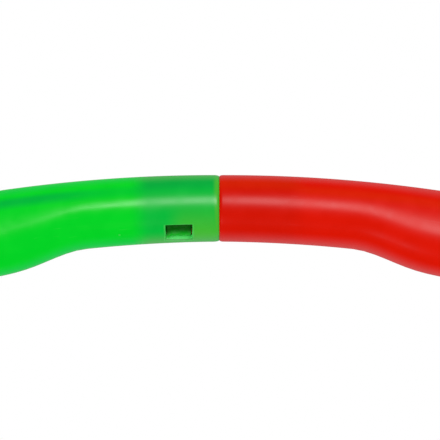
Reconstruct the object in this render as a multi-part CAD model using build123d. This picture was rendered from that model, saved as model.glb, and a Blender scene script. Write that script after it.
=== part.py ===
from build123d import *
import os
from math import cos, exp, log, pi, radians, sin

# A wavy exercise hoop made of eight sections that push together. Each section is a hollow
# blow-moulded shell with a socket at its clockwise end, a moulded coupling glued in its other
# end, and a latch that sits in a window of the socket and drops in a slot of the next coupling.
# The hoop lies flat: its axis is Z, and its lowest points are on z = 0. Millimetres and degrees.

# The hoop
SECTION_COUNT = 8
HOOP_RADIUS = 450.0  # to the outer edge at the middle of a section
TUBE_RADIUS = 10.0  # outside of the tube at a joint
STUB = 1.8  # straight tube at each end of a section, before the outer edge starts to curve

# The wave on the inner edge
WAVES = 4
END_SWELL = 0.5  # how much thicker the tube is where the first wave starts than at the joint
FIRST_WAVE_START = 41.0  # from the joint, along the outer edge
FIRST_WAVE_CREST = 77.0
CREST_THICKNESS = 25.6  # from outer edge to inner edge
WAVE_FULLNESS = 0.22  # above 0 the waves are rounder and the valleys between them narrower

# How the round tube turns egg-shaped as it thickens, in shares of the extra thickness
OUTER_SHRINK = 0.45  # the outer side's radius gets smaller
INNER_GROWTH = 0.117  # the inner side's radius gets larger
FLANK_SOFTNESS = 0.108  # how softly the two sides meet

# Walls and sockets
WALL = 1.5
SOCKET_RADIUS = 8.0
SOCKET_DEPTH = 20.0
SOCKET_LEAD_IN = 0.4
RIM_DEPTH = 0.5  # how far the rounded rim of each end drops below the tube
FEMALE_RIM_LENGTH = 1.6
MALE_RIM_LENGTH = 1.05
RIM_EXIT = 0.1  # how far above the tube the rim's curve ends, so that it leaves the tube cleanly
RIM_BULGE = 0.55  # of the way to the corner, for a curve that is nearly a quarter of an ellipse
OVERCUT = 1.0  # how far a cutter runs past what it cuts

# The latch window in the socket's wall
WINDOW_NEAR = 7.9  # from the joint to the window's nearer side
WINDOW_LENGTH = 8.2
WINDOW_WIDTH = 7.3
WINDOW_TILT = 50.0  # from straight up towards the middle of the hoop
WINDOW_DRAFT = 8.0  # its sides lean in by this much
WINDOW_CORNER = 0.35

# The coupling
COUPLING_LENGTH = 18.0  # each way from the joint
COUPLING_BORE = 6.1
SLIDING_GAP = 0.1
GLUE_GAP = 0.03
COUPLING_CHAMFER = 0.7
SLOT_CLEARANCE = 0.35
SLOT_CORNER = 1.6

# The latch
LATCH_GAP = 0.2  # to the window, each side
LATCH_TOP = 8.25  # distance of its top from the tube's axis
LATCH_BOTTOM = 6.7
LATCH_RAMP = 1.4  # length of the ramp at each end of its underside
LATCH_RAMP_RISE = 1.12
LATCH_ROOT = 0.3  # thickness where the pad meets its pivot bead
LATCH_ROOT_DROP = 0.05  # how far the root's underside lies below the pad's top
LATCH_CORNER = 1.0
PIVOT_RADIUS = 0.45
PIVOT_HEIGHT = 8.75  # from the tube's axis
PIVOT_GAP = 0.05
PIVOT_LENGTH = 6.1

# How finely the shells are drawn
STATIONS = 54  # cross-sections in one shell
SECTION_POINTS = 20  # points round one cross-section

SECTION_ANGLE = 360 / SECTION_COUNT
END_ANGLE = SECTION_ANGLE / 2
ARC_OFFSET = STUB / sin(radians(END_ANGLE))  # the outer edge's centre, from the hoop's axis
ARC_RADIUS = HOOP_RADIUS - ARC_OFFSET
ARC_LENGTH = ARC_RADIUS * radians(SECTION_ANGLE) + 2 * STUB
JOINT_RADIUS = ARC_OFFSET * cos(radians(END_ANGLE)) + ARC_RADIUS - TUBE_RADIUS
WINDOW_MIDDLE = WINDOW_NEAR + WINDOW_LENGTH / 2
MALE_END = 1
FEMALE_END = -1


def swell(distance):
    """How much thicker than a joint the tube is, this far along its outer edge."""
    from_end = min(distance, ARC_LENGTH - distance)
    taper = END_SWELL * min(from_end / FIRST_WAVE_START, 1)
    if from_end < FIRST_WAVE_CREST:
        phase = (from_end - FIRST_WAVE_START) / (FIRST_WAVE_CREST - FIRST_WAVE_START)
    else:
        spacing = (ARC_LENGTH - 2 * FIRST_WAVE_CREST) / (WAVES - 1)
        phase = 1 + 2 * (from_end - FIRST_WAVE_CREST) / spacing
    turn = pi * max(phase, 0)
    wave = (1 - cos(turn)) / 2 + WAVE_FULLNESS * (1 - cos(2 * turn)) / 2
    amplitude = CREST_THICKNESS - 2 * TUBE_RADIUS - END_SWELL
    return taper + amplitude * wave


def section_point(turn, extra, inset):
    """(depth from the outer edge, height) of the point whose normal is turned by this angle
    from the inward direction. The outline is two arcs, one on each side, whose shared tangents
    are softened. Inset moves it inwards, by the wall's thickness."""
    outer_radius = TUBE_RADIUS - OUTER_SHRINK * extra
    growth = (OUTER_SHRINK + INNER_GROWTH) * extra
    spread = extra - growth + 2 * OUTER_SHRINK * extra
    support = outer_radius * (1 + cos(turn)) - inset
    slope = -outer_radius * sin(turn)
    if extra > 0:
        softness = FLANK_SOFTNESS * extra
        reach = spread * cos(turn) + growth
        support += softness * log(1 + exp(reach / softness))
        slope -= spread * sin(turn) / (1 + exp(-reach / softness))
    depth = support * cos(turn) - slope * sin(turn)
    height = support * sin(turn) + slope * cos(turn)
    return depth, height


def turns():
    return [2 * pi * i / SECTION_POINTS for i in range(SECTION_POINTS)]


MID_HEIGHT = max(
    section_point(turn, CREST_THICKNESS - 2 * TUBE_RADIUS, 0)[1] for turn in turns()
)


def outline(angle, stub, inset):
    """The tube's closed cross-section at this angle round the section, or at the end of the
    straight stub beyond it."""
    along = ARC_RADIUS * radians(angle + END_ANGLE) + STUB + stub
    extra = max(swell(along), 0)
    outward = Vector(cos(radians(angle)), sin(radians(angle)), 0)
    tangent = Vector(-sin(radians(angle)), cos(radians(angle)), 0)
    edge = Vector(ARC_OFFSET, 0, MID_HEIGHT) + outward * ARC_RADIUS + tangent * stub
    points = []
    for turn in turns():
        depth, height = section_point(turn, extra, inset)
        points.append(edge - outward * depth + Vector(0, 0, height))
    knots = [float(i) for i in range(SECTION_POINTS + 1)]
    return Wire([Edge.make_spline(points, periodic=True, parameters=knots)])


def tube(inset, start, end, stubs):
    """A solid along the section between two angles, run out to the joints if it has stubs."""
    steps = round(STATIONS * (end - start) / SECTION_ANGLE)
    wires = [
        outline(start + (end - start) * i / steps, 0, inset) for i in range(steps + 1)
    ]
    if stubs:
        wires = [outline(start, -STUB, inset)] + wires + [outline(end, STUB, inset)]
    return Solid.make_loft(wires)


def joint_plane(end):
    """The joint's frame at one end of the section at angle 0: X counter-clockwise along the
    tube, Y towards the middle of the hoop, Z up."""
    angle = radians(end * END_ANGLE)
    centre = Vector(cos(angle), sin(angle), 0) * JOINT_RADIUS + Vector(0, 0, MID_HEIGHT)
    return Plane(origin=centre, x_dir=(-sin(angle), cos(angle), 0), z_dir=(0, 0, 1))


def rod(radius, start, end):
    """A cylinder along X, drawn in the joint's frame."""
    return Pos(start, 0, 0) * extrude(Plane.YZ * Circle(radius), end - start)


def rim_cutter(length, inward):
    """What is cut from a tube's end to leave a rim rounded over this length. It lies at x = 0
    and goes on inward, as the tube does."""
    top = TUBE_RADIUS + RIM_EXIT
    low = TUBE_RADIUS - RIM_DEPTH
    outside = top + OVERCUT
    curve = Bezier((0, low), (0, low + RIM_BULGE * RIM_DEPTH),
                   ((1 - RIM_BULGE) * length, TUBE_RADIUS), (length, top))
    sides = Polyline((0, low), (-OVERCUT, low), (-OVERCUT, outside), (length, outside),
                     (length, top))
    ring = revolve(Plane.XY * make_face([curve, sides]), Axis.X)
    return ring if inward > 0 else mirror(ring, Plane.YZ)


def lead_in():
    """What is cut for the bevel inside the socket's mouth."""
    wide = SOCKET_RADIUS + SOCKET_LEAD_IN
    profile = Polyline((-OVERCUT, 0), (-OVERCUT, wide), (0, wide), (SOCKET_LEAD_IN, SOCKET_RADIUS),
                       (SOCKET_LEAD_IN, 0), close=True)
    return revolve(Plane.XY * make_face(profile), Axis.X)


def window_plane():
    """Across the tube's axis under the window: X along the tube, Z out through the window."""
    out = Vector(0, sin(radians(WINDOW_TILT)), cos(radians(WINDOW_TILT)))
    return Plane(origin=(WINDOW_MIDDLE, 0, 0), x_dir=(1, 0, 0), z_dir=out)


def window_cutter():
    """The window, narrower towards the tube's axis by its draft."""
    rise = TUBE_RADIUS + OVERCUT
    grown = 2 * sin(radians(WINDOW_DRAFT)) * (rise - TUBE_RADIUS)
    outer = RectangleRounded(WINDOW_LENGTH + grown, WINDOW_WIDTH + grown, WINDOW_CORNER)
    face = window_plane() * (Pos(0, 0, rise) * outer)
    return extrude(face, -(rise - LATCH_BOTTOM), taper=WINDOW_DRAFT)


def pivot(radius):
    """The latch's pivot bead, or the groove for it, across the window's inboard side."""
    at = Pos(WINDOW_LENGTH / 2 - LATCH_GAP, 0, PIVOT_HEIGHT)
    across = PIVOT_LENGTH + 2 * (radius - PIVOT_RADIUS)
    return window_plane() * (at * Rot(90, 0, 0) * Cylinder(radius, across))


def degrees_along(length):
    return length / ARC_RADIUS / radians(1)


def make_shell():
    """The hollow section, with its mid-point on +X."""
    male, female = joint_plane(MALE_END), joint_plane(FEMALE_END)
    closed = degrees_along(SOCKET_DEPTH - OVERCUT)
    cavity = tube(WALL, -END_ANGLE + closed, END_ANGLE - closed, False)
    shell = Part(tube(0, -END_ANGLE, END_ANGLE, True).wrapped) - Part(cavity.wrapped)
    shell -= male.location * rod(SOCKET_RADIUS, -SOCKET_DEPTH, OVERCUT)
    shell -= female.location * rod(SOCKET_RADIUS, -OVERCUT, SOCKET_DEPTH)
    shell -= male.location * rim_cutter(MALE_RIM_LENGTH, -1)
    shell -= female.location * rim_cutter(FEMALE_RIM_LENGTH, 1)
    shell -= female.location * lead_in()
    shell -= female.location * window_cutter()
    shell -= female.location * pivot(PIVOT_RADIUS + PIVOT_GAP)
    return shell


def make_coupling():
    """A hollow plug. Its plain half is glued in this section's end, and its slotted half goes
    in the next section's socket."""
    glued = rod(SOCKET_RADIUS - GLUE_GAP, -COUPLING_LENGTH, 0)
    sliding = rod(SOCKET_RADIUS - SLIDING_GAP, 0, COUPLING_LENGTH)
    bore = rod(COUPLING_BORE, -COUPLING_LENGTH - OVERCUT, COUPLING_LENGTH + OVERCUT)
    body = glued + sliding - bore
    rims = body.edges().filter_by(GeomType.CIRCLE)
    ends = [e for e in rims if abs(e.center().X) > COUPLING_LENGTH / 2 and e.radius > COUPLING_BORE]
    body = chamfer(ends, COUPLING_CHAMFER)
    slot = RectangleRounded(WINDOW_LENGTH + 2 * SLOT_CLEARANCE, WINDOW_WIDTH + 2 * SLOT_CLEARANCE,
                            SLOT_CORNER)
    body -= extrude(window_plane() * slot, TUBE_RADIUS)
    return joint_plane(MALE_END).location * body


def make_latch():
    """The sprung pad in the window: a ramp at each end of its underside, and a pivot bead in a
    groove of the shell at its inboard end."""
    draft = sin(radians(WINDOW_DRAFT))
    root = WINDOW_LENGTH / 2 - LATCH_GAP
    half = root - draft * (TUBE_RADIUS - LATCH_TOP)
    width = WINDOW_WIDTH - 2 * LATCH_GAP - 2 * draft * (TUBE_RADIUS - LATCH_BOTTOM)
    side = Polyline((-half, LATCH_TOP), (-half, LATCH_BOTTOM + LATCH_RAMP_RISE),
                    (-half + LATCH_RAMP, LATCH_BOTTOM), (half - 2 * LATCH_RAMP, LATCH_BOTTOM),
                    (root - LATCH_ROOT, LATCH_TOP - LATCH_ROOT_DROP),
                    (root, PIVOT_HEIGHT - PIVOT_RADIUS / 2), (root, PIVOT_HEIGHT),
                    (root - PIVOT_RADIUS, PIVOT_HEIGHT + PIVOT_RADIUS / 2),
                    (half - LATCH_RAMP, LATCH_TOP), close=True)
    pad = extrude(Plane.XZ * make_face(side), width / 2, both=True)
    free_corners = pad.edges().filter_by(Axis.Z).sort_by(Axis.X)[:2]
    pad = chamfer(free_corners, LATCH_CORNER)
    pad = joint_plane(FEMALE_END).location * (window_plane().location * pad)
    return pad + joint_plane(FEMALE_END).location * pivot(PIVOT_RADIUS)


def main():
    os.makedirs("parts", exist_ok=True)
    pieces = {"shell": make_shell(), "coupling": make_coupling(), "latch": make_latch()}
    for number in range(SECTION_COUNT):
        middle = 90 - END_ANGLE - number * SECTION_ANGLE
        for name, piece in pieces.items():
            export_step(Rot(0, 0, middle) * piece, f"parts/{name}_{number + 1}.step")


main()
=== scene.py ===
from math import asin, cos, exp, log, pi, radians, sin, tan

import bmesh
import bpy
from bpy.props import FloatProperty, FloatVectorProperty, IntProperty, PointerProperty
from bpy.types import Operator, Panel, PropertyGroup
from mathutils import Matrix, Vector


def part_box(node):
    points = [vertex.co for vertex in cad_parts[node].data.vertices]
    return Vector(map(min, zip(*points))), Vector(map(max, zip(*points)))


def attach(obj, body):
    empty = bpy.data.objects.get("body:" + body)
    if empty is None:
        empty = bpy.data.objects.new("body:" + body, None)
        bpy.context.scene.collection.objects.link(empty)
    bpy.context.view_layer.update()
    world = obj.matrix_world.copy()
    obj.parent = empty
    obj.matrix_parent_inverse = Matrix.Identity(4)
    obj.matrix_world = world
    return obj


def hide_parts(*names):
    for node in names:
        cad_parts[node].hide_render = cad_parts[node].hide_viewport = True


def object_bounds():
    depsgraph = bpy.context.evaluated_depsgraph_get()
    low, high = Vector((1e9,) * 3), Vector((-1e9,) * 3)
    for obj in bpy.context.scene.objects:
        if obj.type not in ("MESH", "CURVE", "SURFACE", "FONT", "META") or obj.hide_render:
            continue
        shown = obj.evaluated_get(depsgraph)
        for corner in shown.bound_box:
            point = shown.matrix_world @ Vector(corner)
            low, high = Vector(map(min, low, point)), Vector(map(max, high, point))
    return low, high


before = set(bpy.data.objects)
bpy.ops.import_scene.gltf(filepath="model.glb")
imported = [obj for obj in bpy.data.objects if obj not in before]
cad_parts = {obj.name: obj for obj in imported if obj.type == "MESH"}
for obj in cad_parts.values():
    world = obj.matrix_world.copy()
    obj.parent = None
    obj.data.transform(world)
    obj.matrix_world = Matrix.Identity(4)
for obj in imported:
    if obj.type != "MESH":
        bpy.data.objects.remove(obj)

bl_info = {
    "name": "Wavy sectional hoop",
    "version": (1, 0, 0),
    "blender": (4, 5, 0),
    "location": "3D View > Sidebar > Hoop",
    "description": "An exercise hoop of eight hollow sections that push together",
    "category": "Add Mesh",
}

CAD_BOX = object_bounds()
COLOURS = ("red", "green")
SOCKET_END = -1
PLUG_END = 1
UP = Vector((0, 0, 1))

# How finely the meshes are drawn
ROUND_COLUMNS = 46  # round the tube outside the window
WINDOW_COLUMNS = 8
WINDOW_ROWS = 4
GUARD_ANGLE = radians(2.4)  # from the window's side to the next column
GUARD = 0.00045  # from the window's end to the next row
ROW_STEP = 0.0034
CAVITY_STEP = 0.007
RIM_STEPS = 6
MOUTH_ROWS = (0.0026, 0.005)  # between the socket's rim and the window
SOCKET_END_ROWS = (0.0185, 0.0215)  # either side of the socket's inner end
SHOULDER = 0.0005  # length of the step from the socket's inside to the tube's
STRAIGHT_ROWS = 0.020  # rows this near the socket's mouth are parallel to it
HAIRLINE = 5e-6  # half the step from the coupling's glued half to its sliding half
SHARP_ANGLE = radians(42)
MERGE = 1e-6

# The latch's side: its free end's slope, and its bead as (back from the root, above the top)
TOE_SLOPE = 0.8
LATCH_BEAD = ((0.0004, -0.0001), (0.0, 0.0002), (0.0001, 0.00065), (0.0005, 0.00075))
ROUNDED_ANGLE = radians(35)  # a latch's edges sharper than this are rounded
GATE_TOP = 0.55  # the moulding mark's top, as a share of its foot

# How the plastics shine, and how much they vary over their surface
PLASTIC_IOR = 1.49
GLOSS = {"red": 0.0135, "green": 0.025}
ROUGHNESS = {"red": 0.34, "green": 0.23}
BACKED_ROUGHNESS = {"red": 0.34, "green": 0.33}  # where a coupling lies behind the wall
MOULDED_GLOSS = 0.01
MOULDED_ROUGHNESS = 0.33
ROUGHNESS_SPREAD = (-0.02, 0.03)
BRIGHTNESS_SPREAD = (0.985, 1.015)
SHELL_RELIEF = 0.00002
MOULDED_RELIEF = 0.00001
SHELL_SCUFFS = 0.12
MOULDED_SCUFFS = 0.6
SCRATCH_HEIGHT = -0.12  # as a share of the relief
EDGE_WEAR = 0.6
WORN_DULLNESS = 0.16
WORN_SATURATION = 0.86
WORN_BRIGHTNESS = 1.03
RIM_PALENESS = 0.4  # the painted rim highlight colour's share on the window's rim

# Where a shell's colours fade into each other: X from the socket's mouth along the straightened
# tube, Y from its axis to the hoop's middle, Z up
COUPLING_FADE = (0.0025, 0.0095)  # X past the coupling's end
OUTER_FADE = (-0.0078, -0.0045)  # Y of the painted shade at the backed plastic's outer side
SHADE_BAND_OUTER_FADE = (-0.0078, -0.0060)  # Y of the painted shade band's outer border
SHADE_BAND_INNER_FADE = (-0.0058, -0.0032)  # Y of its inner border
SHADE_BAND_ALONG = (0.030, 0.055)  # X over which it gains strength
SHADE_BAND_START = 0.35  # its strength at the socket's mouth
TINGE_ACROSS = (-0.0035, 0.0105)  # Y over which the painted see-through tinge gains strength
TINGE_ALONG = (0.0095, 0.0165)  # X over which it ends
TINGED_RIM = (0.0006, 0.0022)  # X over which the rim's own painted tinge ends
SIDE_ACROSS = (-0.002, 0.004)  # Y over which the painted pale reflections at the sides grow wider and stronger
SIDE_OFF_LINE = 0.0025  # Z off the parting line where they start to fade
SIDE_WIDTHS = (0.0064, 0.0080)  # Z where they end, at the outer and inner edges
SIDE_WEIGHTS = (0.75, 1.0)  # their strengths there
PARTING_LINE = (0.00005, 0.0002)  # Z off the parting line
PARTING_RISE = 1.2  # as a share of the relief
SILL_INSIDE = (0.0080, 0.0081)  # distance from the tube's axis
SILL_OUTSIDE = (0.0093, 0.0097)  # distance from the tube's axis
SILL_ACROSS = (0.0066, 0.0072)  # Y, so that only the inner side is lit
SILL_UP = (0.0, 0.0002)  # Z, so that only the upper half of the tube is
SILL_ALONG = (0.0175, 0.0180)  # X past the window
LATCH_SHADE = (-0.0004, 0.0042)  # across the window, to the hoop's middle

# The stage
LIGHT_DISTANCE = 1.3
SIDE_LIGHT_DIRECTION = Vector((-0.31, -0.68, 0.66))
SIDE_LIGHT_SIZE = 0.25
FLOOR_RADIUS = 8
FLOOR_GAP = 0.0005  # from the hoop's underside


def length(name, description, default):
    """A size in metres."""
    return FloatProperty(name=name, description=description, default=default, min=0, precision=5,
                         unit="LENGTH")


def ratio(name, description, default):
    """A plain number."""
    return FloatProperty(name=name, description=description, default=default)


def degrees(name, description, default):
    """An angle, given in degrees."""
    return FloatProperty(name=name, description=description, default=radians(default),
                         subtype="ANGLE")


def colour(name, description, default):
    """A linear colour with its alpha."""
    return FloatVectorProperty(name=name, description=description, default=default, size=4,
                               min=0, max=1, subtype="COLOR")


class HoopTubeSizes(PropertyGroup):
    """The line and outline of a section's tube."""
    sections: IntProperty(name="Sections", description="Sections in the hoop", default=8, min=3)
    hoop_radius: length("Hoop radius", "To the outer edge at the middle of a section", 0.450)
    tube_radius: length("Tube radius", "Outside of the tube at a joint", 0.010)
    stub: length("Stub", "Straight tube at each end of a section", 0.0018)
    waves: IntProperty(name="Waves", description="Waves in one section", default=4, min=1)
    end_swell: length("End swell", "Extra thickness where the first wave starts", 0.0005)
    first_start: length("First wave", "From the joint to the first wave's start", 0.041)
    first_crest: length("First crest", "From the joint to the first wave's crest", 0.077)
    crest: length("Crest", "Thickness of the tube at a crest", 0.0256)
    fullness: ratio("Fullness", "Above 0 the waves are rounder than their valleys", 0.22)
    outer_shrink: ratio("Outer shrink", "How far the outer side's radius shrinks in a wave", 0.45)
    inner_growth: ratio("Inner growth", "How far the inner side's radius grows in a wave", 0.117)
    flank: ratio("Flank softness", "How softly the two sides meet", 0.108)
    wall: length("Wall", "Thickness of the shell's wall", 0.0015)


class HoopJointSizes(PropertyGroup):
    """The socket, window, coupling and latch at each joint."""
    socket_radius: length("Socket radius", "Inside of the socket", 0.008)
    socket_depth: length("Socket depth", "From the joint to the socket's end", 0.020)
    lead_in: length("Lead-in", "Bevel inside the socket's mouth", 0.0004)
    rim_depth: length("Rim depth", "How far a rounded rim drops below the tube", 0.0005)
    socket_rim: length("Socket rim", "Length of the socket's rounded rim", 0.0016)
    plug_rim: length("Plug rim", "Length of the other end's rounded rim", 0.00105)
    window_near: length("Window place", "From the joint to the window", 0.0079)
    window_length: length("Window length", "Along the tube", 0.0082)
    window_width: length("Window width", "Across the tube", 0.0073)
    window_tilt: degrees("Window tilt", "From straight up to the hoop's middle", 50)
    window_draft: degrees("Window draft", "How much the window's sides lean in", 8)
    window_corner: length("Window corner", "Radius of the window's corners", 0.0005)
    window_edge: length("Window edge", "Rounding of the window's rim", 0.00028)
    plug_length: length("Coupling length", "Each way from the joint", 0.018)
    plug_bore: length("Coupling bore", "Inner radius of the coupling", 0.0061)
    sliding_gap: length("Sliding gap", "Between the coupling and the socket", 0.0001)
    glue_gap: length("Glue gap", "Between the coupling and its own shell", 0.00003)
    plug_chamfer: length("Coupling chamfer", "At each end of the coupling", 0.0007)
    slot_clearance: length("Slot clearance", "From the window's edge to the slot's", 0.00035)
    slot_corner: length("Slot corner", "Radius of the slot's corners", 0.0016)
    latch_gap: length("Latch gap", "Between the latch and the window, each side", 0.0003)
    latch_top: length("Latch top", "Its height above the tube's axis", 0.00825)
    latch_bottom: length("Latch bottom", "Its height above the tube's axis", 0.0067)
    latch_ramp: length("Latch ramp", "Length of the slope at each end of its underside", 0.0014)
    latch_corner: length("Latch corner", "What is cut from its two free corners", 0.001)
    latch_edge: length("Latch edge", "Rounding of its edges", 0.00012)
    gate_place: length("Gate mark place", "From the joint to the small moulding mark", 0.0308)
    gate_turn: degrees("Gate mark turn", "From the hoop's middle up to the moulding mark", 46)
    gate_width: length("Gate mark width", "Width of the small moulding mark", 0.0009)
    gate_rise: length("Gate mark rise", "How far it stands proud", 0.00016)


class HoopColours(PropertyGroup):
    """The plastics' colours."""
    red: colour("Red", "Red plastic", (0.720, 0.0065, 0.0, 1))
    # Painted shade: a darker band along the tube's outer side.
    red_band: colour("Red band", "Thicker red plastic along the outer side",
                     (0.715, 0.0125, 0.0, 1))
    # Painted reflection: pale colour along the tube's sides.
    red_side: colour("Side red", "Red plastic seen through the wall's length",
                     (0.665, 0.062, 0.060, 1))
    # Painted shade where a coupling lies behind the wall.
    red_backed: colour("Backed red", "Red plastic with a coupling behind it",
                       (0.655, 0.0060, 0.0, 1))
    # Painted shade: darker still at the outer side over a coupling.
    red_outer: colour("Outer red", "Backed red plastic at its outer side",
                      (0.665, 0.0135, 0.0, 1))
    # Painted light: the next section's coupling showing through the wall.
    red_tinged: colour("Tinged red", "Red plastic where the green coupling shows through",
                       (0.645, 0.0085, 0.0, 1))
    # Painted reflection: pale sides where a coupling lies behind the wall.
    red_backed_side: colour("Backed side red", "Side red where a coupling lies behind it",
                            (0.640, 0.062, 0.060, 1))
    # Painted highlight on the window's rim.
    red_rubbed: colour("Rubbed red", "The red window's rim", (0.760, 0.040, 0.030, 1))
    red_lit: colour("Lit red", "The red window's inner side", (0.900, 0.070, 0.050, 1))
    red_deep: colour("Deep red", "Red latch at its shaded side", (0.220, 0.004, 0.0, 1))
    green: colour("Green", "Green plastic", (0.0, 0.660, 0.018, 1))
    # Painted shade: a darker band along the tube's outer side.
    green_band: colour("Green band", "Thicker green plastic along the outer side",
                       (0.0, 0.485, 0.044, 1))
    # Painted reflection: pale colour along the tube's sides.
    green_side: colour("Side green", "Green plastic seen through the wall's length",
                       (0.006, 0.600, 0.072, 1))
    # Painted shade where a coupling lies behind the wall.
    green_backed: colour("Backed green", "Green plastic with a coupling behind it",
                         (0.0, 0.500, 0.042, 1))
    # Painted shade: darker still at the outer side over a coupling.
    green_outer: colour("Outer green", "Backed green plastic at its outer side",
                        (0.0, 0.415, 0.046, 1))
    # Painted light: the next section's coupling showing through the wall.
    green_tinged: colour("Tinged green", "Green plastic where the red coupling shows through",
                         (0.064, 0.490, 0.030, 1))
    # Painted reflection: pale sides where a coupling lies behind the wall.
    green_backed_side: colour("Backed side green", "Side green where a coupling lies behind it",
                              (0.085, 0.460, 0.095, 1))
    # Painted highlight on the window's rim.
    green_rubbed: colour("Rubbed green", "The green window's rim", (0.045, 0.640, 0.080, 1))
    green_lit: colour("Lit green", "The green window's inner side", (0.110, 1.000, 0.190, 1))
    green_deep: colour("Deep green", "Green latch at its shaded side", (0.0, 0.095, 0.0, 1))
    floor: colour("Floor", "Floor and backdrop", (1.0, 1.0, 1.0, 1))


class HoopStage(PropertyGroup):
    """The camera and the studio."""
    view_width: length("View width", "What the camera sees across the joint", 0.132)
    view_inward: length("View offset", "From the joint to the picture's middle, inwards", 0.0035)
    view_along: length("View shift", "From the joint to the picture's middle, along", 0.0002)
    lens: FloatProperty(name="Lens", description="Focal length", default=200, unit="CAMERA")
    key_tilt: degrees("Key light tilt", "From straight up to outside the hoop", 27)
    key_turn: degrees("Key light turn", "From straight across the tube", 8.5)
    key_width: length("Key light width", "Along the tube", 0.62)
    key_depth: length("Key light depth", "Across the tube", 0.44)
    key_power: FloatProperty(name="Key light", description="Power", default=155, unit="POWER")
    side_power: FloatProperty(name="Side light", description="Power", default=17, unit="POWER")
    room_light: ratio("Room light", "How brightly the white room lights the hoop", 1.0)
    floor_shine: ratio("Floor shine", "How brightly the floor shines in the plastic", 0.45)


class Tube:
    """One section's tube with its middle on +X, worked out from the sizes and the frame."""

    def __init__(self, context):
        self.sizes = context.scene.hoop_tube
        self.joint = context.scene.hoop_joint
        low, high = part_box("coupling_1")
        self.joint_radius = (low.y + high.y) / 2
        self.height = (low.z + high.z) / 2
        self.half = pi / self.sizes.sections
        self.arc_offset = self.sizes.stub / sin(self.half)
        self.arc_radius = self.sizes.hoop_radius - self.arc_offset
        self.length = 2 * self.half * self.arc_radius + 2 * self.sizes.stub
        self.window_turn = pi / 2 - self.joint.window_tilt

    def swell(self, distance):
        """How much thicker than a joint the tube is, this far along its outer edge."""
        sizes = self.sizes
        from_end = max(min(distance, self.length - distance), 0)
        taper = sizes.end_swell * min(from_end / sizes.first_start, 1)
        if from_end < sizes.first_crest:
            phase = (from_end - sizes.first_start) / (sizes.first_crest - sizes.first_start)
        else:
            spacing = (self.length - 2 * sizes.first_crest) / (sizes.waves - 1)
            phase = 1 + 2 * (from_end - sizes.first_crest) / spacing
        turn = pi * max(phase, 0)
        wave = (1 - cos(turn)) / 2 + sizes.fullness * (1 - cos(2 * turn)) / 2
        return taper + (sizes.crest - 2 * sizes.tube_radius - sizes.end_swell) * wave

    def outline(self, turn, extra, inset):
        """(depth from the outer edge, height) of the point whose normal is turned by this
        angle from the inward direction. It is two arcs with softened shared tangents."""
        sizes = self.sizes
        outer_radius = sizes.tube_radius - sizes.outer_shrink * extra
        growth = (sizes.outer_shrink + sizes.inner_growth) * extra
        stretch = extra - growth + 2 * sizes.outer_shrink * extra
        support = outer_radius * (1 + cos(turn)) - inset
        slope = -outer_radius * sin(turn)
        if extra > MERGE:
            softness = sizes.flank * extra
            reach = stretch * cos(turn) + growth
            support += softness * log(1 + exp(reach / softness))
            slope -= stretch * sin(turn) / (1 + exp(-reach / softness))
        depth = support * cos(turn) - slope * sin(turn)
        return depth, support * sin(turn) + slope * cos(turn)

    def end_frame(self, end):
        """The joint's frame at one end: X counter-clockwise along the tube, Y to the hoop's
        middle, Z up."""
        angle = end * self.half
        outward = Vector((cos(angle), sin(angle), 0))
        along = Vector((-sin(angle), cos(angle), 0))
        turned = Matrix((along, -outward, UP)).transposed().to_4x4()
        return Matrix.Translation(outward * self.joint_radius + UP * self.height) @ turned

    def window_frame(self, end, distance):
        """The frame over the window: X along the tube, Z out through the window."""
        return (self.end_frame(end) @ Matrix.Translation((distance, 0, 0))
                @ Matrix.Rotation(-self.joint.window_tilt, 4, "X"))

    def skin(self, distance, turn, inset):
        """A point of the shell's skin, or of the wall's inside."""
        depth, rise = self.outline(turn, self.swell(distance), inset)
        if distance < STRAIGHT_ROWS:
            past_stub = max(distance - self.sizes.stub, 0)
            angle = asin(past_stub / (self.arc_radius - depth))
            drop = self.arc_radius - (self.arc_radius - depth) * cos(angle)
            place = Vector((distance, drop - self.sizes.tube_radius, rise))
            return self.end_frame(SOCKET_END) @ place
        curved = min(distance, self.length - self.sizes.stub) - self.sizes.stub
        angle = curved / self.arc_radius - self.half
        outward = Vector((cos(angle), sin(angle), 0))
        along = Vector((-sin(angle), cos(angle), 0))
        edge = Vector((self.arc_offset, 0, self.height)) + outward * self.arc_radius
        edge += along * (distance - self.sizes.stub - curved)
        return edge - outward * depth + UP * rise

    def columns(self, half_width, radius):
        """Angles round the tube from the inward direction. The first few cross a window of
        this half-width, in a tube of this radius."""
        half = asin(half_width / radius)
        low, high = self.window_turn - half, self.window_turn + half
        across = [low + (high - low) * i / WINDOW_COLUMNS for i in range(WINDOW_COLUMNS + 1)]
        start, end = high + GUARD_ANGLE, low + 2 * pi - GUARD_ANGLE
        last = ROUND_COLUMNS - 1
        return across + [start + (end - start) * i / last for i in range(ROUND_COLUMNS)]

    def skin_ring(self, distance, inset, columns):
        """A ring of points across the tube, each with its place in the straightened tube."""
        points = []
        for turn in columns:
            depth, rise = self.outline(turn, self.swell(distance), inset)
            straight = Vector((distance, depth - self.sizes.tube_radius, rise))
            points.append((self.skin(distance, turn, inset), straight))
        return points

    def round_ring(self, end, place, radius, columns):
        """A round ring this far along the joint's own axis."""
        start = 0 if end == SOCKET_END else self.length
        points = []
        for turn in columns:
            across = Vector((place, radius * cos(turn), radius * sin(turn)))
            points.append((self.end_frame(end) @ across, across + Vector((start, 0, 0))))
        return points

    def rim_rings(self, end, rim_length, columns):
        """A rounded rim, from the end face to the tube's full radius."""
        rings = []
        for step in range(RIM_STEPS):
            turn = pi / 2 * step / RIM_STEPS
            place = -end * rim_length * (1 - cos(turn))
            radius = self.sizes.tube_radius - self.joint.rim_depth * (1 - sin(turn))
            rings.append(self.round_ring(end, place, radius, columns))
        return rings


def spread(start, end, step):
    """Evenly spaced values from start to end, no further apart than the step."""
    count = max(round((end - start) / step), 1)
    return [start + (end - start) * i / count for i in range(count + 1)]


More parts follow.
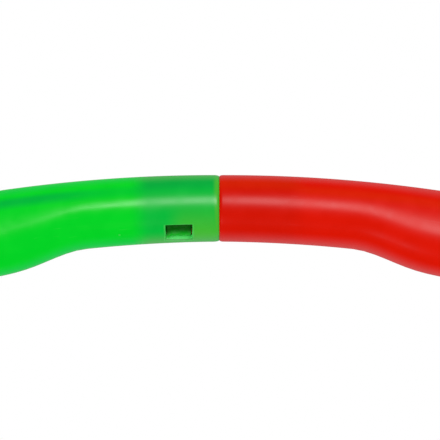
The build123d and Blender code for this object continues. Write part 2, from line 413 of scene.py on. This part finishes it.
def put_ring(verts, ring, column, straight):
    """Moves each vertex to its column's place in the ring."""
    for vert in verts:
        place, unrolled = ring[vert[column]]
        vert.co = place
        vert[straight] = unrolled


def draw_rings(bm, rings):
    """A closed wall drawn ring by ring: each ring is the last one's edges extruded and put in
    place, and the last closes on the first. Returns the band of faces after each ring."""
    column = bm.verts.layers.int.new("column")
    straight = bm.verts.layers.float_vector.new("tube")
    bm.verts.layers.float.new("edge")
    start = bmesh.ops.create_circle(bm, segments=len(rings[0]), radius=1)["verts"]
    for number, vert in enumerate(start):
        vert[column] = number
    put_ring(start, rings[0], column, straight)
    edges = bm.edges[:]
    bands = []
    for ring in rings[1:] + rings[:1]:
        made = bmesh.ops.extrude_edge_only(bm, edges=edges)["geom"]
        verts = {part for part in made if isinstance(part, bmesh.types.BMVert)}
        edges = [part for part in made if isinstance(part, bmesh.types.BMEdge)
                 and set(part.verts) <= verts]
        bands.append([part for part in made if isinstance(part, bmesh.types.BMFace)])
        put_ring(verts, ring, column, straight)
    bmesh.ops.remove_doubles(bm, verts=bm.verts[:], dist=MERGE)
    return bands


def window_faces(bm, bands):
    """The faces of these bands that lie across the window."""
    column = bm.verts.layers.int["column"]
    return [face for band in bands for face in band
            if all(vert[column] <= WINDOW_COLUMNS for vert in face.verts)]


def round_corners(edges, to_window, half_length, half_width, radius):
    """Moves a rectangular loop's points near its corners on to arcs of this radius."""
    back = to_window.inverted()
    for vert in {vert for edge in edges for vert in edge.verts}:
        place = back @ vert.co
        past_x = abs(place.x) - (half_length - radius)
        past_y = abs(place.y) - (half_width - radius)
        if past_x > 0 and past_y > 0:
            arc = Vector((past_x, past_y)).normalized() * radius
            place.x += (arc.x - past_x) * (1 if place.x > 0 else -1)
            place.y += (arc.y - past_y) * (1 if place.y > 0 else -1)
            vert.co = to_window @ place


def cut_window(bm, outer, inner, to_window, half_length, half_width, corner):
    """Opens a window through a wall, and returns the edges of its outer rim."""
    bmesh.ops.delete(bm, geom=outer, context="FACES")
    outer_rim = [edge for edge in bm.edges if edge.is_boundary]
    bmesh.ops.delete(bm, geom=inner, context="FACES")
    rims = [edge for edge in bm.edges if edge.is_boundary]
    round_corners(rims, to_window, half_length, half_width, corner)
    bmesh.ops.bridge_loops(bm, edges=rims)
    return outer_rim


def round_edges(bm, edges, offset, segments):
    """Rounds edges, and marks them for wear and for the shells' painted rim highlight."""
    made = bmesh.ops.bevel(bm, geom=edges, offset=offset, offset_type="OFFSET",
                           segments=segments, profile=0.5, affect="EDGES", material=-1)
    layer = bm.verts.layers.float["edge"]
    for vert in made["verts"]:
        vert[layer] = 1


def make_shell(tube):
    """One hollow section with its middle on +X."""
    joint, wall = tube.joint, tube.sizes.wall
    near, far = joint.window_near, joint.window_near + joint.window_length
    lean = tan(joint.window_draft) * (tube.sizes.tube_radius - joint.socket_radius)
    half_width = joint.window_width / 2
    outer = tube.columns(half_width, tube.sizes.tube_radius)
    inner = tube.columns(half_width - lean, joint.socket_radius)
    step = (far - near) / WINDOW_ROWS

    rings = tube.rim_rings(SOCKET_END, joint.socket_rim, outer)
    rows = [joint.socket_rim, *MOUTH_ROWS, near - GUARD]
    first_window_ring = len(rings) + len(rows)
    rows += [near + step * i for i in range(WINDOW_ROWS + 1)] + [far + GUARD]
    before_end, past_end = SOCKET_END_ROWS
    gate = joint.gate_width / 2
    rows += [before_end] + spread(past_end, joint.gate_place - gate, ROW_STEP)
    gate_ring = len(rings) + len(rows) - 1
    rows += spread(joint.gate_place + gate, tube.length - joint.plug_rim, ROW_STEP)
    rings += [tube.skin_ring(row, 0, outer) for row in rows]
    rings += tube.rim_rings(PLUG_END, joint.plug_rim, outer)[::-1]

    depth = joint.socket_depth
    for place in (0, -depth / 2, SHOULDER - depth):
        rings.append(tube.round_ring(PLUG_END, place, joint.socket_radius, inner))
    for row in spread(depth + SHOULDER, tube.length - depth, CAVITY_STEP)[::-1]:
        rings.append(tube.skin_ring(row, wall, inner))
    inside_rows = [depth, far + GUARD]
    first_inside_ring = len(rings) + len(inside_rows)
    inside_step = step - 2 * lean / WINDOW_ROWS
    inside_rows += [far - lean - inside_step * i for i in range(WINDOW_ROWS + 1)]
    inside_rows += [near - GUARD, joint.lead_in]
    rings += [tube.round_ring(SOCKET_END, row, joint.socket_radius, inner) for row in inside_rows]
    rings.append(tube.round_ring(SOCKET_END, 0, joint.socket_radius + joint.lead_in, inner))

    bm = bmesh.new()
    bands = draw_rings(bm, rings)
    outside = window_faces(bm, bands[first_window_ring:first_window_ring + WINDOW_ROWS])
    inside = window_faces(bm, bands[first_inside_ring:first_inside_ring + WINDOW_ROWS])
    raise_gate_mark(bm, bands[gate_ring], tube)
    to_window = tube.window_frame(SOCKET_END, near + joint.window_length / 2)
    rim = cut_window(bm, outside, inside, to_window, joint.window_length / 2, half_width,
                     joint.window_corner)
    bmesh.ops.recalc_face_normals(bm, faces=bm.faces[:])
    round_edges(bm, rim, joint.window_edge, 3)
    return bm


def raise_gate_mark(bm, band, tube):
    """The small round mark that the mould leaves beside the socket."""
    straight = bm.verts.layers.float_vector["tube"]
    joint = tube.joint
    radius = tube.sizes.tube_radius
    aim = Vector((joint.gate_place, radius * cos(joint.gate_turn), radius * sin(joint.gate_turn)))

    def distance(face):
        return (sum((vert[straight] for vert in face.verts), Vector()) / 4 - aim).length

    face = min(band, key=distance)
    bmesh.ops.recalc_face_normals(bm, faces=bm.faces[:])
    bmesh.ops.inset_individual(bm, faces=[face], thickness=joint.gate_width / 5)
    top = bmesh.ops.extrude_discrete_faces(bm, faces=[face])["faces"][0]
    bmesh.ops.translate(bm, vec=top.normal * joint.gate_rise, verts=top.verts)
    middle = Matrix.Translation(-top.calc_center_median())
    bmesh.ops.scale(bm, vec=(GATE_TOP,) * 3, space=middle, verts=top.verts)
    edge = bm.verts.layers.float["edge"]
    for vert in top.verts:
        vert[edge] = 1


def make_coupling(tube):
    """The hollow plug: its plain half is glued in its own shell's end, and its slotted half
    goes in the next shell's socket."""
    joint = tube.joint
    half_width = joint.window_width / 2 + joint.slot_clearance
    half_length = joint.window_length / 2 + joint.slot_clearance
    middle = joint.window_near + joint.window_length / 2
    near, far = middle - half_length, middle + half_length
    sliding = joint.socket_radius - joint.sliding_gap
    glued = joint.socket_radius - joint.glue_gap
    end, chamfer = joint.plug_length, joint.plug_chamfer
    outer = tube.columns(half_width, sliding)
    inner = tube.columns(half_width, joint.plug_bore)
    slot = [near + (far - near) * i / WINDOW_ROWS for i in range(WINDOW_ROWS + 1)]

    profile = [(-end, joint.plug_bore), (-end, glued - chamfer), (chamfer - end, glued),
               (-end / 2, glued), (-HAIRLINE, glued), (HAIRLINE, sliding),
               (near - GUARD, sliding)]
    first_slot_ring = len(profile)
    profile += [(row, sliding) for row in slot]
    profile += [(far + GUARD, sliding), (end - chamfer, sliding), (end, sliding - chamfer)]
    outside_count = len(profile)
    profile += [(end, joint.plug_bore), (far + GUARD, joint.plug_bore)]
    first_inside_ring = len(profile)
    profile += [(row, joint.plug_bore) for row in slot[::-1]] + [(0, joint.plug_bore)]
    rings = []
    for number, (place, radius) in enumerate(profile):
        columns = outer if 0 < number < outside_count else inner
        rings.append(tube.round_ring(PLUG_END, place, radius, columns))

    bm = bmesh.new()
    bands = draw_rings(bm, rings)
    outside = window_faces(bm, bands[first_slot_ring:first_slot_ring + WINDOW_ROWS])
    inside = window_faces(bm, bands[first_inside_ring:first_inside_ring + WINDOW_ROWS])
    to_window = tube.window_frame(PLUG_END, middle)
    rim = cut_window(bm, outside, inside, to_window, half_length, half_width, joint.slot_corner)
    bmesh.ops.recalc_face_normals(bm, faces=bm.faces[:])
    round_edges(bm, rim, joint.window_edge / 2, 2)
    return bm


def make_latch(tube):
    """The sprung pad in the window, with a slope at each end of its underside and a bead at
    its root that it hinges on."""
    joint = tube.joint
    bottom, top, ramp = joint.latch_bottom, joint.latch_top, joint.latch_ramp
    lean = sin(joint.window_draft) * (tube.sizes.tube_radius - bottom)
    half = joint.window_length / 2 - joint.latch_gap - lean / 2
    root = joint.window_length / 2 - joint.latch_gap
    half_width = joint.window_width / 2 - joint.latch_gap - lean
    side = [(-half, top), (-half, bottom + ramp * TOE_SLOPE), (-half + ramp, bottom),
            (half - 2 * ramp, bottom)]
    side += [(root - back, top + rise) for back, rise in LATCH_BEAD] + [(half - ramp, top)]
    bm = bmesh.new()
    bm.verts.layers.float_vector.new("tube")
    bm.verts.layers.float.new("edge")
    corners = [bm.verts.new((along, -half_width, height)) for along, height in side]
    face = bm.faces.new(corners)
    made = bmesh.ops.extrude_face_region(bm, geom=[face])["geom"]
    moved = [part for part in made if isinstance(part, bmesh.types.BMVert)]
    bmesh.ops.translate(bm, vec=(0, 2 * half_width, 0), verts=moved)
    bmesh.ops.recalc_face_normals(bm, faces=bm.faces[:])
    free = [edge for edge in bm.edges if all(vert.co.x < MERGE - half for vert in edge.verts)
            and abs(edge.verts[0].co.z - edge.verts[1].co.z) > MERGE]
    bmesh.ops.bevel(bm, geom=free, offset=joint.latch_corner, offset_type="OFFSET", segments=4,
                    profile=0.5, affect="EDGES", material=-1)
    edges = [edge for edge in bm.edges if edge.calc_face_angle(0) > ROUNDED_ANGLE]
    round_edges(bm, edges, joint.latch_edge, 2)
    place = tube.window_frame(SOCKET_END, joint.window_near + joint.window_length / 2)
    straight = bm.verts.layers.float_vector["tube"]
    for vert in bm.verts:
        vert[straight] = vert.co
    bmesh.ops.transform(bm, matrix=place, verts=bm.verts[:])
    return bm


def section_colour(number):
    """The colours take turns round the hoop."""
    return COLOURS[(number - 1) % len(COLOURS)]


def place_copies(context, tube, master, kind, body):
    """A copy of the piece in every section, each riding on its own body."""
    for number in range(1, tube.sizes.sections + 1):
        name = f"{section_colour(number)}_{kind}_{number}"
        bm = master.copy()
        turn = pi / 2 - tube.half - (number - 1) * 2 * tube.half
        bmesh.ops.rotate(bm, cent=(0, 0, 0), matrix=Matrix.Rotation(turn, 3, "Z"),
                         verts=bm.verts[:])
        for face in bm.faces:
            face.smooth = True
        mesh = bpy.data.meshes.new(name)
        bm.to_mesh(mesh)
        bm.free()
        mesh.set_sharp_from_angle(angle=SHARP_ANGLE)
        piece = bpy.data.objects.new(name, mesh)
        context.scene.collection.objects.link(piece)
        slot = f"{section_colour(number)}_{kind}"
        mesh.materials.append(bpy.data.materials[f"{slot}_plastic"])
        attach(piece, f"{body}_{number}")
        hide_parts(f"{kind}_{number}")
    master.free()


def add_node(tree, kind, settings=None, sockets=None):
    """A node, with its settings and its sockets' values or links."""
    node = tree.nodes.new(kind)
    for name, value in (settings or {}).items():
        setattr(node, name, value)
    for name, value in (sockets or {}).items():
        if isinstance(value, bpy.types.NodeSocket):
            tree.links.new(value, node.inputs[name])
        else:
            node.inputs[name].default_value = value
    return node


def add_math(tree, operation, first, *rest):
    """The operation on two or more values, taken in turn, or on one."""
    result = first
    for value in rest or (0.0,):
        node = add_node(tree, "ShaderNodeMath", {"operation": operation}, {0: result, 1: value})
        result = node.outputs[0]
    return result


def add_range(tree, value, span, start=0.0, end=1.0):
    """Maps the span on to start..end, smoothly."""
    node = add_node(tree, "ShaderNodeMapRange", {"interpolation_type": "SMOOTHSTEP"},
                    {"Value": value, "From Min": span[0], "From Max": span[1],
                     "To Min": start, "To Max": end})
    return node.outputs["Result"]


def add_mix(tree, factor, first, second):
    """The first colour where the factor is 0, the second where it is 1."""
    node = add_node(tree, "ShaderNodeMix", {"data_type": "RGBA"}, {0: factor, 6: first, 7: second})
    return node.outputs[2]


def new_group(name, inputs, outputs):
    """An empty shader node group. Inputs are (name, kind, default)."""
    group = bpy.data.node_groups.new(name, "ShaderNodeTree")
    for socket_name, kind, default in inputs:
        socket = group.interface.new_socket(socket_name, in_out="INPUT", socket_type=kind)
        if default is not None:
            socket.default_value = default
    for socket_name in outputs:
        group.interface.new_socket(socket_name, in_out="OUTPUT", socket_type="NodeSocketFloat")
    source = group.nodes.new("NodeGroupInput")
    result = group.nodes.new("NodeGroupOutput")
    return group, source.outputs, result.inputs


def build_moulded_skin():
    """The faint unevenness of moulded plastic: soft ripples and a fine grain."""
    group, given, result = new_group(
        "Moulded skin",
        [("Place", "NodeSocketVector", None), ("Ripple size", "NodeSocketFloat", 160.0),
         ("Grain size", "NodeSocketFloat", 2600.0), ("Grain share", "NodeSocketFloat", 0.2)],
        ["Height", "Tone"])
    ripple = add_node(group, "ShaderNodeTexNoise", None,
                      {"Vector": given["Place"], "Scale": given["Ripple size"], "Detail": 2.0})
    grain = add_node(group, "ShaderNodeTexNoise", None,
                     {"Vector": given["Place"], "Scale": given["Grain size"], "Detail": 3.0})
    fine = add_math(group, "MULTIPLY", grain.outputs["Fac"], given["Grain share"])
    group.links.new(add_math(group, "ADD", ripple.outputs["Fac"], fine), result["Height"])
    group.links.new(add_range(group, ripple.outputs["Fac"], (0.3, 0.7)), result["Tone"])


def build_handling_scuffs():
    """Short fine scratches in a few patches, mostly along the tube."""
    group, given, result = new_group(
        "Handling scuffs",
        [("Place", "NodeSocketVector", None), ("Amount", "NodeSocketFloat", 0.5)], ["Mask"])
    stretched = add_node(group, "ShaderNodeMapping", None,
                         {"Vector": given["Place"], "Scale": (90.0, 1500.0, 1500.0)})
    lines = add_node(group, "ShaderNodeTexNoise", None,
                     {"Vector": stretched.outputs[0], "Scale": 1.0, "Detail": 2.0})
    scratch = add_range(group, lines.outputs["Fac"], (0.66, 0.72))
    patches = add_node(group, "ShaderNodeTexNoise", None,
                       {"Vector": given["Place"], "Scale": 45.0, "Detail": 1.0})
    patch = add_range(group, patches.outputs["Fac"], (0.48, 0.62))
    mask = add_math(group, "MULTIPLY", scratch, patch, given["Amount"])
    group.links.new(mask, result["Mask"])


def build_worn_edges():
    """Edges rubbed dull, unevenly."""
    group, given, result = new_group(
        "Worn edges",
        [("Place", "NodeSocketVector", None), ("Edge", "NodeSocketFloat", 0.0),
         ("Amount", "NodeSocketFloat", 0.5)], ["Mask"])
    uneven = add_node(group, "ShaderNodeTexNoise", None,
                      {"Vector": given["Place"], "Scale": 900.0, "Detail": 3.0})
    broken = add_range(group, uneven.outputs["Fac"], (0.35, 0.65), 0.2, 1.0)
    mask = add_math(group, "MULTIPLY", broken, given["Edge"], given["Amount"])
    group.links.new(mask, result["Mask"])


def start_material(name, roughness, gloss):
    """A plastic with nothing on it yet. Gloss is its specular level."""
    material = bpy.data.materials.new(name)
    material.use_nodes = True
    tree = material.node_tree
    tree.nodes.clear()
    shader = add_node(tree, "ShaderNodeBsdfPrincipled", None,
                      {"Roughness": roughness, "IOR": PLASTIC_IOR, "Specular IOR Level": gloss})
    output = tree.nodes.new("ShaderNodeOutputMaterial")
    tree.links.new(shader.outputs[0], output.inputs["Surface"])
    return tree, shader


def read_piece(tree):
    """What a piece's mesh says of each point: its place, the place's X, Y and Z, and how much
    of an edge it is."""
    place = add_node(tree, "ShaderNodeAttribute", {"attribute_name": "tube"}).outputs["Vector"]
    edge = add_node(tree, "ShaderNodeAttribute", {"attribute_name": "edge"}).outputs["Fac"]
    parts = add_node(tree, "ShaderNodeSeparateXYZ", None, {"Vector": place}).outputs
    return place, (parts["X"], parts["Y"], parts["Z"]), edge


def plastic_surface(tree, shader, place, edge, base, roughness, relief, scuffs, duller=0.0):
    """What every moulded piece shares: uneven gloss, scuffs and rubbed edges. Relief is the
    height of its unevenness, and duller is added to its roughness. Returns its height map and
    the Bump node that reads it."""
    groups = bpy.data.node_groups
    skin = add_node(tree, "ShaderNodeGroup", {"node_tree": groups["Moulded skin"]},
                    {"Place": place})
    scuff = add_node(tree, "ShaderNodeGroup", {"node_tree": groups["Handling scuffs"]},
                     {"Place": place, "Amount": scuffs})
    worn = add_node(tree, "ShaderNodeGroup", {"node_tree": groups["Worn edges"]},
                    {"Place": place, "Edge": edge, "Amount": EDGE_WEAR})
    tone, scratches = skin.outputs["Tone"], scuff.outputs["Mask"]
    marks = add_math(tree, "ADD", scratches, worn.outputs["Mask"])
    smoothest, roughest = (roughness + change for change in ROUGHNESS_SPREAD)
    varied = add_range(tree, tone, (0.0, 1.0), smoothest, roughest)
    dull = add_math(tree, "MULTIPLY", marks, WORN_DULLNESS)
    tree.links.new(add_math(tree, "ADD", varied, dull, duller), shader.inputs["Roughness"])
    brightness = add_range(tree, tone, (0.0, 1.0), *BRIGHTNESS_SPREAD)
    tinted = add_node(tree, "ShaderNodeHueSaturation", None,
                      {"Color": base, "Value": brightness}).outputs[0]
    pale = add_node(tree, "ShaderNodeHueSaturation", None,
                    {"Color": tinted, "Saturation": WORN_SATURATION,
                     "Value": WORN_BRIGHTNESS}).outputs[0]
    tree.links.new(add_mix(tree, marks, tinted, pale), shader.inputs["Base Color"])
    scratched = add_math(tree, "MULTIPLY", scratches, SCRATCH_HEIGHT)
    height = add_math(tree, "ADD", skin.outputs["Height"], scratched)
    bump = add_node(tree, "ShaderNodeBump", None,
                    {"Height": height, "Distance": relief, "Strength": 1.0})
    tree.links.new(bump.outputs[0], shader.inputs["Normal"])
    return height, bump


def coupling_mask(tree, along, tube):
    """Where a coupling lies behind the wall, at both ends of a shell."""
    near, far = COUPLING_FADE
    reach = tube.joint.plug_length
    from_plug = tube.length - reach
    in_socket = add_range(tree, along, (reach + near, reach + far), 1.0, 0.0)
    on_plug = add_range(tree, along, (from_plug - far, from_plug - near))
    return add_math(tree, "MAXIMUM", in_socket, on_plug)


def shade_band_mask(tree, along, inward):
    """Painted shade: a soft darker band along the tube's outer side, a little in
    from its edge."""
    outer = add_range(tree, inward, SHADE_BAND_OUTER_FADE)
    inner = add_range(tree, inward, SHADE_BAND_INNER_FADE, 1.0, 0.0)
    strength = add_range(tree, along, SHADE_BAND_ALONG, SHADE_BAND_START, 1.0)
    return add_math(tree, "MULTIPLY", outer, inner, strength)


def tinge_mask(tree, along, inward):
    """Painted light: where the next section's coupling shows through the wall, growing towards the
    hoop's middle near the socket's mouth, and the socket's rim.
    """
    near_mouth = add_range(tree, along, TINGE_ALONG, 1.0, 0.0)
    facing = add_range(tree, inward, TINGE_ACROSS)
    at_rim = add_range(tree, along, TINGED_RIM, 1.0, 0.0)
    return add_math(tree, "MAXIMUM", add_math(tree, "MULTIPLY", near_mouth, facing), at_rim)


def side_sheen_mask(tree, inward, off_line):
    """Painted reflection: pale sides along the tube's edges either side of the parting line, wider
    and stronger towards the hoop's middle.
    """
    width = add_range(tree, inward, SIDE_ACROSS, *SIDE_WIDTHS)
    at_side = add_range(tree, off_line, (SIDE_OFF_LINE, width), 1.0, 0.0)
    weight = add_range(tree, inward, SIDE_ACROSS, *SIDE_WEIGHTS)
    return add_math(tree, "MULTIPLY", at_side, weight)


def sill_mask(tree, along, inward, up):
    """The window's side nearest the hoop's middle, inside the wall, which catches the light."""
    squares = add_math(tree, "ADD", add_math(tree, "MULTIPLY", inward, inward),
                       add_math(tree, "MULTIPLY", up, up))
    radius = add_math(tree, "SQRT", squares)
    return add_math(tree, "MULTIPLY",
                    add_range(tree, radius, SILL_OUTSIDE, 1.0, 0.0),
                    add_range(tree, radius, SILL_INSIDE),
                    add_range(tree, inward, SILL_ACROSS),
                    add_range(tree, up, SILL_UP),
                    add_range(tree, along, SILL_ALONG, 1.0, 0.0))


def build_shell_plastic(name, paints, tube):
    """Blow-moulded plastic with painted light and shade. It has painted shade where a coupling
    lies behind it, darker still at its outer side, a painted shade band along the outer side,
    painted pale reflections at the sides, a painted highlight on the window's rim and painted
    light on the window's inner side; the next section's coupling is painted as light showing
    through its inner side near the socket's mouth. The mould's parting line runs along the hoop's
    inner and outer edges."""
    plain, band, side, backed_shade, outer, tinged, backed_side, rim_highlight, lit = (
        tuple(getattr(paints, f"{name}{part}"))
        for part in ("", "_band", "_side", "_backed", "_outer", "_tinged", "_backed_side",
                     "_rubbed", "_lit"))
    roughness = ROUGHNESS[name]
    tree, shader = start_material(f"{name}_shell_plastic", roughness, GLOSS[name])
    place, (along, inward, up), edge = read_piece(tree)
    off_line = add_math(tree, "ABSOLUTE", up)
    behind = coupling_mask(tree, along, tube)
    # Painted shade band along the outer side.
    open_wall = add_mix(tree, shade_band_mask(tree, along, inward), plain, band)
    # Painted shade where a coupling lies behind the wall, darker at its outer side.
    at_outer = add_range(tree, inward, OUTER_FADE, 1.0, 0.0)
    base = add_mix(tree, behind, open_wall, add_mix(tree, at_outer, backed_shade, outer))
    # Painted light: the next section's coupling showing through, and the socket's rim.
    base = add_mix(tree, tinge_mask(tree, along, inward), base, tinged)
    # Painted reflection: pale sides near the tube's edges.
    base = add_mix(tree, side_sheen_mask(tree, inward, off_line), base,
                   add_mix(tree, behind, side, backed_side))
    # Painted highlight on the window's rim and the other marked edges.
    base = add_mix(tree, add_math(tree, "MULTIPLY", edge, RIM_PALENESS), base, rim_highlight)
    base = add_mix(tree, sill_mask(tree, along, inward, up), base, lit)
    duller = add_math(tree, "MULTIPLY", behind, BACKED_ROUGHNESS[name] - roughness)
    height, bump = plastic_surface(tree, shader, place, edge, base, roughness, SHELL_RELIEF,
                                   SHELL_SCUFFS, duller)
    line = add_range(tree, off_line, PARTING_LINE, PARTING_RISE, 0.0)
    tree.links.new(add_math(tree, "ADD", height, line), bump.inputs["Height"])


def build_moulded_plastic(name, deep, base):
    """Injection-moulded plastic of the couplings and latches, deeper in colour on a latch's
    shaded side."""
    tree, shader = start_material(name, MOULDED_ROUGHNESS, MOULDED_GLOSS)
    place, (_, inward, _), edge = read_piece(tree)
    shaded = add_mix(tree, add_range(tree, inward, LATCH_SHADE), tuple(deep), tuple(base))
    plastic_surface(tree, shader, place, edge, shaded, MOULDED_ROUGHNESS, MOULDED_RELIEF,
                    MOULDED_SCUFFS)


def build_floor_material(base, shine):
    """A white light table, which shines less in the plastic than to the eye."""
    material = bpy.data.materials.new("pale_floor")
    material.use_nodes = True
    material.cycles.emission_sampling = "NONE"
    tree = material.node_tree
    tree.nodes.clear()
    path = tree.nodes.new("ShaderNodeLightPath")
    strength = add_range(tree, path.outputs["Is Glossy Ray"], (0.0, 1.0), 1.0, shine)
    glow = add_node(tree, "ShaderNodeEmission", None, {"Color": base, "Strength": strength})
    output = tree.nodes.new("ShaderNodeOutputMaterial")
    tree.links.new(glow.outputs[0], output.inputs["Surface"])
    return material


def add_area_light(context, name, place, aim, size_x, size_y, power):
    """A soft light that shows only as a highlight, because the room lights the rest."""
    light = bpy.data.lights.new(name, "AREA")
    light.shape = "RECTANGLE"
    light.size = size_x
    light.size_y = size_y
    light.energy = power
    lamp = bpy.data.objects.new(name, light)
    context.scene.collection.objects.link(lamp)
    lamp.location = place
    lamp.rotation_euler = (aim - place).to_track_quat("-Z", "Y").to_euler()
    lamp.visible_camera = False
    lamp.visible_diffuse = False


class HOOP_OT_plastics(Operator):
    """Make the red and green plastics"""
    bl_idname = "hoop.plastics"
    bl_label = "Make plastics"

    def execute(self, context):
        build_moulded_skin()
        build_handling_scuffs()
        build_worn_edges()
        tube = Tube(context)
        paints = context.scene.hoop_colours
        for name in COLOURS:
            base = getattr(paints, name)
            build_shell_plastic(name, paints, tube)
            build_moulded_plastic(f"{name}_coupling_plastic", base, base)
            build_moulded_plastic(f"{name}_latch_plastic", getattr(paints, f"{name}_deep"), base)
        return {"FINISHED"}


class HOOP_OT_shells(Operator):
    """Add the hollow sections"""
    bl_idname = "hoop.shells"
    bl_label = "Add shells"

    def execute(self, context):
        tube = Tube(context)
        place_copies(context, tube, make_shell(tube), "shell", "section")
        return {"FINISHED"}


class HOOP_OT_couplings(Operator):
    """Add the coupling at each section's end"""
    bl_idname = "hoop.couplings"
    bl_label = "Add couplings"

    def execute(self, context):
        tube = Tube(context)
        place_copies(context, tube, make_coupling(tube), "coupling", "section")
        return {"FINISHED"}


class HOOP_OT_latches(Operator):
    """Add the sprung latch in each window"""
    bl_idname = "hoop.latches"
    bl_label = "Add latches"

    def execute(self, context):
        tube = Tube(context)
        place_copies(context, tube, make_latch(tube), "latch", "latch")
        return {"FINISHED"}


class HOOP_OT_stage(Operator):
    """Add the floor, the studio light and the camera"""
    bl_idname = "hoop.stage"
    bl_label = "Add stage"

    def execute(self, context):
        tube = Tube(context)
        stage = context.scene.hoop_stage
        scene = context.scene
        joint = Vector((0, tube.joint_radius, tube.height))

        bm = bmesh.new()
        bmesh.ops.create_circle(bm, cap_ends=True, segments=96, radius=FLOOR_RADIUS)
        bmesh.ops.translate(bm, vec=(0, 0, CAD_BOX[0][2] - FLOOR_GAP), verts=bm.verts[:])
        mesh = bpy.data.meshes.new("floor")
        bm.to_mesh(mesh)
        bm.free()
        floor = bpy.data.objects.new("floor", mesh)
        scene.collection.objects.link(floor)
        mesh.materials.append(build_floor_material(scene.hoop_colours.floor, stage.floor_shine))

        tilt, turn = stage.key_tilt, stage.key_turn
        place = joint + Vector((sin(turn), sin(tilt), cos(tilt))) * LIGHT_DISTANCE
        add_area_light(context, "key_light", place, joint, stage.key_width, stage.key_depth,
                       stage.key_power)
        place = joint + SIDE_LIGHT_DIRECTION * LIGHT_DISTANCE
        add_area_light(context, "side_light", place, joint, SIDE_LIGHT_SIZE, SIDE_LIGHT_SIZE,
                       stage.side_power)

        world = bpy.data.worlds.new("studio")
        scene.world = world
        world.use_nodes = True
        world.cycles_visibility.glossy = False
        world.cycles.sampling_method = "NONE"
        background = world.node_tree.nodes["Background"]
        background.inputs["Color"].default_value = scene.hoop_colours.floor
        background.inputs["Strength"].default_value = stage.room_light

        camera = bpy.data.cameras.new("camera")
        camera.lens = stage.lens
        camera.clip_start = 0.05
        distance = stage.view_width / camera.sensor_width * stage.lens
        viewer = bpy.data.objects.new("camera", camera)
        scene.collection.objects.link(viewer)
        viewer.location = joint + Vector((stage.view_along, -stage.view_inward, distance))
        viewer.rotation_euler = (0, 0, 0)
        scene.camera = viewer
        scene.view_settings.view_transform = "Standard"
        return {"FINISHED"}


class HOOP_PT_panel(Panel):
    """Lists the hoop's sizes, colours and pieces"""
    bl_label = "Wavy hoop"
    bl_idname = "HOOP_PT_panel"
    bl_space_type = "VIEW_3D"
    bl_region_type = "UI"
    bl_category = "Hoop"

    def draw(self, context):
        for group in (context.scene.hoop_tube, context.scene.hoop_joint,
                      context.scene.hoop_colours, context.scene.hoop_stage):
            box = self.layout.box()
            for name in group.__annotations__:
                box.prop(group, name)
        for operator in OPERATORS:
            self.layout.operator(operator.bl_idname)


OPERATORS = (HOOP_OT_plastics, HOOP_OT_shells, HOOP_OT_couplings, HOOP_OT_latches, HOOP_OT_stage)
SETTINGS = {"hoop_tube": HoopTubeSizes, "hoop_joint": HoopJointSizes,
            "hoop_colours": HoopColours, "hoop_stage": HoopStage}
CLASSES = tuple(SETTINGS.values()) + OPERATORS + (HOOP_PT_panel,)


def register():
    for item in CLASSES:
        bpy.utils.register_class(item)
    for name, group in SETTINGS.items():
        setattr(bpy.types.Scene, name, PointerProperty(type=group))


def unregister():
    for name in SETTINGS:
        delattr(bpy.types.Scene, name)
    for item in reversed(CLASSES):
        bpy.utils.unregister_class(item)


def main():
    register()
    bpy.ops.hoop.plastics()
    bpy.ops.hoop.shells()
    bpy.ops.hoop.couplings()
    bpy.ops.hoop.latches()
    bpy.ops.hoop.stage()


if __name__ == "__main__":
    main()
